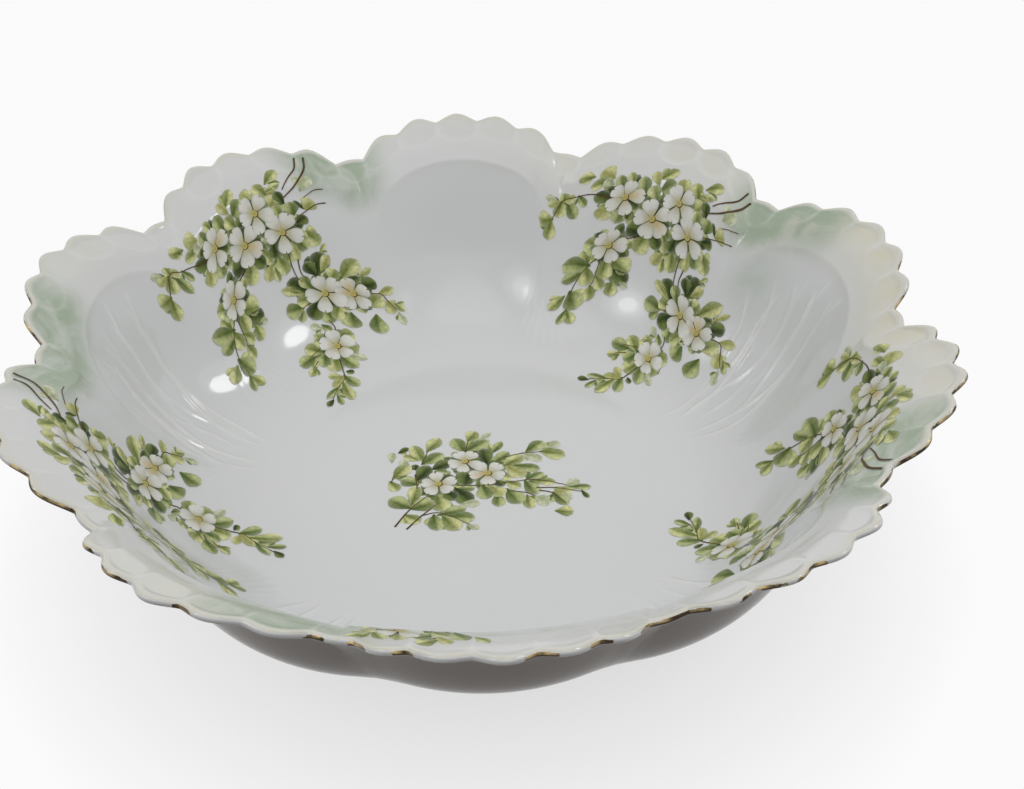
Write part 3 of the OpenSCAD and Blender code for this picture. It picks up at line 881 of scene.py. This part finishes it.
def add_stem(sheets, points, width, height):
    line, direction = curve_points(points, 6 * len(points))
    run = np.linspace(0, 1, len(line))[:, None]
    half = width / 2 * (1 - 0.4 * run) * np.array([[-1.0, 0.0, 1.0]])
    colours = np.array(STEM_BROWN) * (0.8 + 0.5 * run)[..., None] * np.array([0.8, 1.25, 0.9])[None, :, None]
    sheets.add(*turned_shape(line[:, :1], line[:, 1:], direction[:, None], 0, half), colours, STEM, height)


def add_petal(sheets, x, y, direction, length, width, shade, ochre, height):
    """Petal with a narrow base and a shallow notch in its tip, yellow-green and finely lined at the eye."""
    u = np.linspace(0, 1, 13)[:, None]
    v = np.linspace(-1, 1, 13)[None, :]
    half = width / 2 * (0.13 + 0.87 * np.sin(math.pi / 2 * np.minimum(1, u / 0.72)) ** 1.25)
    half = half * np.where(u > 0.72, np.sqrt(np.maximum(0.10, 1 - ((u - 0.72) / 0.295) ** 2)), 1)
    along = 0.5 + length * u * (1 - 0.15 * bell((v - 0.15) / 0.22) * u ** 5)
    fade = 0.50 * np.clip(1 - u / 0.8, 0, 1) + 0.40 * smooth(np.abs(v), 0.7, 1.0)
    fade = np.clip(fade + shade * smooth(-v, -0.6, 0.8) * (1 - 0.4 * u), 0, 1)
    colours = tint(np.array(PETAL_WHITE), PETAL_SHADE, fade)
    base = np.clip(1 - u / 0.45, 0, 1) ** 0.7
    colours = tint(colours, PETAL_BASE, 0.85 * base)
    lines = np.clip(1 - u / 0.55, 0, 1) * np.cos(3 * math.pi * v) ** 4
    colours = tint(colours, EYE_BROWN, 0.30 * lines)
    blush = ochre * np.clip(1.15 - u, 0, 1) * bell((v - 0.2) / 0.75)
    colours = tint(colours, PETAL_OCHRE, blush)
    sheets.add(*turned_shape(x, y, direction, along, half * v), colours, PETAL, height)


def add_disc(sheets, x, y, radius, inner, outer, height):
    g = np.linspace(-1, 1, 5)
    u, v = g[:, None] + 0 * g[None, :], g[None, :] + 0 * g[:, None]
    across, up = u * np.sqrt(1 - v * v / 2), v * np.sqrt(1 - u * u / 2)
    colours = tint(np.array(inner), outer, np.clip(across ** 2 + up ** 2, 0, 1))
    sheets.add(x + radius * across, y + radius * up, colours, PETAL, height)


def add_blossom(sheets, x, y, size, turn, ochre_petals, draw, height):
    for k in range(5):
        direction = turn + 72 * k + draw.uniform(-8, 8)
        length = size / 2 * draw.uniform(0.90, 1.06) - 0.5
        width = size * draw.uniform(0.36, 0.43)
        ochre = 0.9 if k in ochre_petals else draw.uniform(0, 0.15)
        add_petal(sheets, x, y, direction, length, width, draw.uniform(0.05, 0.5), ochre, height + 0.01 * k)
    add_disc(sheets, x + 0.15, y - 0.1, 1.10, EYE_BROWN, EYE_BROWN, height + 0.06)
    add_disc(sheets, x - 0.05, y + 0.05, 0.95, EYE_YELLOW, PETAL_BASE, height + 0.07)


def add_backing(sheets, x, y, size, turn, draw, height):
    """Leaves that show between the petals of a blossom and round it."""
    for k in range(15):
        angle = turn + 24 * k + draw.uniform(-9, 9)
        between = k % 3 == 1
        length = size * (draw.uniform(0.42, 0.55) if between else draw.uniform(0.52, 0.72))
        tone = D if between else draw.choice((D, D, D, G, O))
        add_leaf(sheets, x, y, angle, length, size * draw.uniform(0.28, 0.38), tone, draw.choice((-1, 1)),
                 height + 0.0008 * k + 0.012 * between)


# Leaves are drawn a little larger than they look, because each overlaps the next.
LEAF_LONGER, LEAF_WIDER = 1.25, 1.36
# Share of the leaves that have a smaller one beside them.
COMPANION_SHARE = 0.75


def draw_spray(leaves, blossoms, stems, shift, seed):
    draw = random.Random(seed)
    sheets = Sheets()
    dx, dy = shift
    for number, (x, y, size, turn, _) in enumerate(blossoms):
        add_backing(sheets, x + dx, y + dy, size, turn, draw, 0.03 + 0.0001 * number)
    height = 0.06
    for x, y, direction, length, width, tone in leaves:
        if draw.random() < COMPANION_SHARE:
            aside = draw.choice((-1, 1)) * draw.uniform(35, 65)
            add_leaf(sheets, x + dx, y + dy, direction + aside, length * draw.uniform(0.65, 0.9),
                     width * draw.uniform(0.8, 1.05), draw.choice((tone, G, O)), draw.choice((-1, 1)), height)
            height += 0.0005
    for x, y, direction, length, width, tone in leaves:
        back = 0.5 * (LEAF_LONGER - 1) * length
        add_leaf(sheets, x + dx - back * math.cos(math.radians(direction)),
                 y + dy - back * math.sin(math.radians(direction)), direction, LEAF_LONGER * length,
                 LEAF_WIDER * width, tone, draw.choice((-1, 1)), height)
        height += 0.001
    for points, width in stems:
        add_stem(sheets, [(px + dx, py + dy) for px, py in points], width, height)
    for x, y, size, turn, ochre_petals in blossoms:
        add_blossom(sheets, x + dx, y + dy, size, turn, ochre_petals, draw, height)
        height += 0.008
    return sheets


ARC_T = np.linspace(0, 1, 401)
ARC_PLACE = wall_place(np.full(401, FIRST_LOBE + PITCH), ARC_T)
ARC_LENGTH = np.concatenate([[0], np.cumsum(np.hypot(np.diff(ARC_PLACE.r), np.diff(ARC_PLACE.z)))])


def on_wall(middle):
    """Turns flat spray places into places on the wall of a lobe, or on the floor below it."""

    def surface(x, y):
        r = np.where(y < 0, FLOOR_RADIUS + y, np.interp(y, ARC_LENGTH, ARC_PLACE.r))
        theta = middle - np.degrees(x / r)
        wall = inner_point(theta, np.interp(y, ARC_LENGTH, ARC_T))
        return np.where((y < 0)[:, None], placed(theta, r, FLOOR_TOP), wall)

    return surface


def on_floor(x, y):
    return np.stack([x, y, FLOOR_TOP + 0 * x], axis=-1)


def lay_sheets(name, sheets, surface, materials):
    x, y, h = (np.concatenate(v) for v in (sheets.x, sheets.y, sheets.h))
    step = 0.15
    y = np.minimum(y, ARC_LENGTH[-1] - 2 * step)
    right = surface(x + step, y) - surface(x - step, y)
    up = surface(x, y + step) - surface(x, y - step)
    normal = np.cross(right, up)
    normal = normal / np.linalg.norm(normal, axis=1, keepdims=True)
    obj = make_mesh(name, surface(x, y) + h[:, None] * normal, sheets.faces, materials, smooth_faces=False)
    obj.data.polygons.foreach_set("material_index", sheets.kinds)
    set_colours(obj, "paint", np.concatenate(sheets.colours))
    turn_outward(obj)
    return obj


def in_part(point, part):
    return part[0] < point[0] < part[2] and part[1] < point[1] < part[3]


def make_sprays(materials):
    pieces = []
    for number, (middle, shift, part) in enumerate(SPRAYS, start=1):
        leaves = [leaf for leaf in WALL_LEAVES if in_part(leaf[:2], part)]
        blossoms = [blossom for blossom in WALL_BLOSSOMS if in_part(blossom[:2], part)]
        stems = [stem for stem in WALL_STEMS if all(in_part(point, part) for point in stem[0])]
        sheets = draw_spray(leaves, blossoms, stems, shift, 31)
        pieces.append(lay_sheets("wall_spray_%d" % number, sheets, on_wall(middle), materials))
    sheets = draw_spray(FLOOR_LEAVES, FLOOR_BLOSSOMS, FLOOR_STEMS, (0.0, 0.0), 77)
    pieces.append(lay_sheets("floor_spray", sheets, on_floor, materials))
    return pieces


# Stage: floor, world, lamps and camera.

# The floor, in metres: its size, how bright it looks in the open and close under the bowl, and how far the
# shadow reaches.
FLOOR_SIZE = 6.0
FLOOR_SEEN, FLOOR_SHADED = 0.96, 0.66
SHADOW_REACH = 0.05
# The share of light that it gives back in front of the bowl and behind it, and the y where each begins.
FLOOR_BOUNCE, FLOOR_BOUNCE_BEHIND = (0.085, 0.066, 0.052), (0.72, 0.71, 0.70)
BOUNCE_FROM, BOUNCE_TO = -0.06, 0.03


def show(tree, output, lighting, seen):
    """Shows one shader to the rays that light the bowl, the other to camera, mirror and see-through rays."""
    path = tree.nodes.new("ShaderNodeLightPath").outputs
    direct = maths(tree, "MAXIMUM", path["Is Camera Ray"], path["Is Glossy Ray"])
    direct = maths(tree, "MAXIMUM", direct, path["Is Transmission Ray"])
    choose = tree.nodes.new("ShaderNodeMixShader")
    tree.links.new(direct, choose.inputs["Fac"])
    tree.links.new(lighting.outputs[0], choose.inputs[1])
    tree.links.new(seen.outputs[0], choose.inputs[2])
    tree.links.new(choose.outputs[0], output.inputs["Surface"])


def make_floor():
    """Plain pale floor, darker where the bowl stands close over it."""
    half = FLOOR_SIZE / 2
    mesh = bpy.data.meshes.new("studio_floor")
    corners = [(-half, -half, 0), (half, -half, 0), (half, half, 0), (-half, half, 0)]
    mesh.from_pydata(corners, [], [(0, 1, 2, 3)])
    floor = bpy.data.objects.new("studio_floor", mesh)
    bpy.context.scene.collection.objects.link(floor)
    material = bpy.data.materials.new("studio_floor")
    tree, output = emptied(material, "ShaderNodeOutputMaterial")
    bounce = tree.nodes.new("ShaderNodeBsdfDiffuse")
    behind = ranged(tree, axes(tree, "Object")["Y"], BOUNCE_FROM, BOUNCE_TO, 0.0, 1.0)
    tree.links.new(mixed(tree, behind, FLOOR_BOUNCE, FLOOR_BOUNCE_BEHIND), bounce.inputs["Color"])
    shade = tree.nodes.new("ShaderNodeAmbientOcclusion")
    shade.inputs["Distance"].default_value = SHADOW_REACH
    glow = tree.nodes.new("ShaderNodeEmission")
    glow.inputs["Color"].default_value = (1, 1, 1, 1)
    strength = ranged(tree, shade.outputs["AO"], 0.0, 1.0, FLOOR_SHADED, FLOOR_SEEN)
    tree.links.new(strength, glow.inputs["Strength"])
    show(tree, output, bounce, glow)
    mesh.materials.append(material)


# Strength of the soft light: low in front, how much more low behind, and overhead. Then the heights between
# which it grows, and the places from front to back, all as parts of 1.
WORLD_LOW, WORLD_BEHIND, WORLD_HIGH = 0.17, 0.34, 0.595
WORLD_RISE, WORLD_FULL = 0.10, 0.50
WORLD_FRONT, WORLD_BACK = -0.5, 0.2


def make_world():
    world = bpy.data.worlds.new("studio")
    bpy.context.scene.world = world
    tree, output = emptied(world, "ShaderNodeOutputWorld")
    towards = axes(tree, "Generated")
    dim = tree.nodes.new("ShaderNodeBackground")
    dim.inputs["Color"].default_value = (1, 1, 1, 1)
    low = ranged(tree, towards["Z"], WORLD_RISE, WORLD_FULL, 1.0, 0.0)
    behind = ranged(tree, towards["Y"], WORLD_FRONT, WORLD_BACK, WORLD_LOW, WORLD_BEHIND + WORLD_LOW)
    high = ranged(tree, towards["Z"], WORLD_RISE, WORLD_FULL, 0.0, WORLD_HIGH)
    tree.links.new(maths(tree, "ADD", maths(tree, "MULTIPLY", low, behind), high), dim.inputs["Strength"])
    white = tree.nodes.new("ShaderNodeBackground")
    white.inputs["Color"].default_value = (1, 1, 1, 1)
    white.inputs["Strength"].default_value = 1.0
    show(tree, output, dim, white)


# Lamps: name, direction from the bowl, distance, width and height in metres, power in watts.
LAMPS = (
    ("lamp_right", (0.675, 0.04, 0.73), 0.95, 0.28, 0.22, 1.3),
    ("lamp_right_wide", (0.70, -0.02, 0.71), 0.96, 0.50, 0.40, 0.35),
    ("lamp_left", (-0.67, -0.20, 0.71), 1.00, 0.20, 0.20, 0.36),
    ("lamp_left_wide", (-0.67, -0.20, 0.71), 1.01, 0.36, 0.36, 0.55),
    ("lamp_left_widest", (-0.67, -0.20, 0.71), 1.02, 0.55, 0.55, 0.60),
    ("lamp_above", (0.00, -0.15, 0.98), 1.20, 1.00, 1.00, 1.3),
)


def make_lamps():
    for name, direction, distance, width, height, power in LAMPS:
        data = bpy.data.lights.new(name, "AREA")
        data.shape = "ELLIPSE"
        data.size = width
        data.size_y = height
        data.energy = power
        lamp = bpy.data.objects.new(name, data)
        bpy.context.scene.collection.objects.link(lamp)
        towards = Vector(direction).normalized()
        lamp.location = towards * distance + Vector((0, 0, 0.03))
        lamp.rotation_euler = towards.to_track_quat("Z", "Y").to_euler()


# Camera: place in millimetres, direction, roll in degrees, lens and sensor in millimetres.
CAMERA_PLACE = (-11.775, -323.428, 269.385)
CAMERA_FORWARD = (0.05264, 0.81401, -0.57845)
CAMERA_ROLL = -0.4765
CAMERA_LENS, SENSOR_WIDTH = 53.93, 36.0


def make_camera():
    data = bpy.data.cameras.new("camera")
    data.lens = CAMERA_LENS
    data.sensor_fit = "HORIZONTAL"
    data.sensor_width = SENSOR_WIDTH
    data.clip_start = 0.01
    camera = bpy.data.objects.new("camera", data)
    bpy.context.scene.collection.objects.link(camera)
    forward = Vector(CAMERA_FORWARD).normalized()
    right = forward.cross(Vector((0, 0, 1))).normalized()
    up = right.cross(forward)
    turn = Matrix((right, up, -forward)).transposed() @ Matrix.Rotation(math.radians(CAMERA_ROLL), 3, "Z")
    camera.matrix_world = Matrix.Translation(Vector(CAMERA_PLACE) * MM) @ turn.to_4x4()
    bpy.context.scene.camera = camera


def main():
    glaze = glaze_material("porcelain_glaze", WHITE_GLAZE, INNER_SHINE)
    # The outside's glaze is greyer: painted shade.
    outer_glaze_painted_shade = glaze_material("outer_glaze_painted_shade", OUTER_GLAZE_PAINTED_SHADE, OUTER_SHINE)
    enamels = [enamel_material("leaf_enamel", 0.75, 1.25), enamel_material("petal_enamel", 0.94, 1.04),
               enamel_material("stem_enamel", 0.75, 1.2)]

    bowl = make_bowl(glaze, outer_glaze_painted_shade)
    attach(bowl, "root")
    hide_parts("bowl_body")

    gilding = make_gilding(gilding_material())
    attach(gilding, "root")
    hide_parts("gilt_edge")

    for spray in make_sprays(enamels):
        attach(spray, "root")

    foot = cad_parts["foot_ring"]
    foot.data.materials.clear()
    foot.data.materials.append(foot_material())

    make_floor()
    make_world()
    make_lamps()
    make_camera()
    bpy.context.scene.view_settings.view_transform = "Standard"


main()
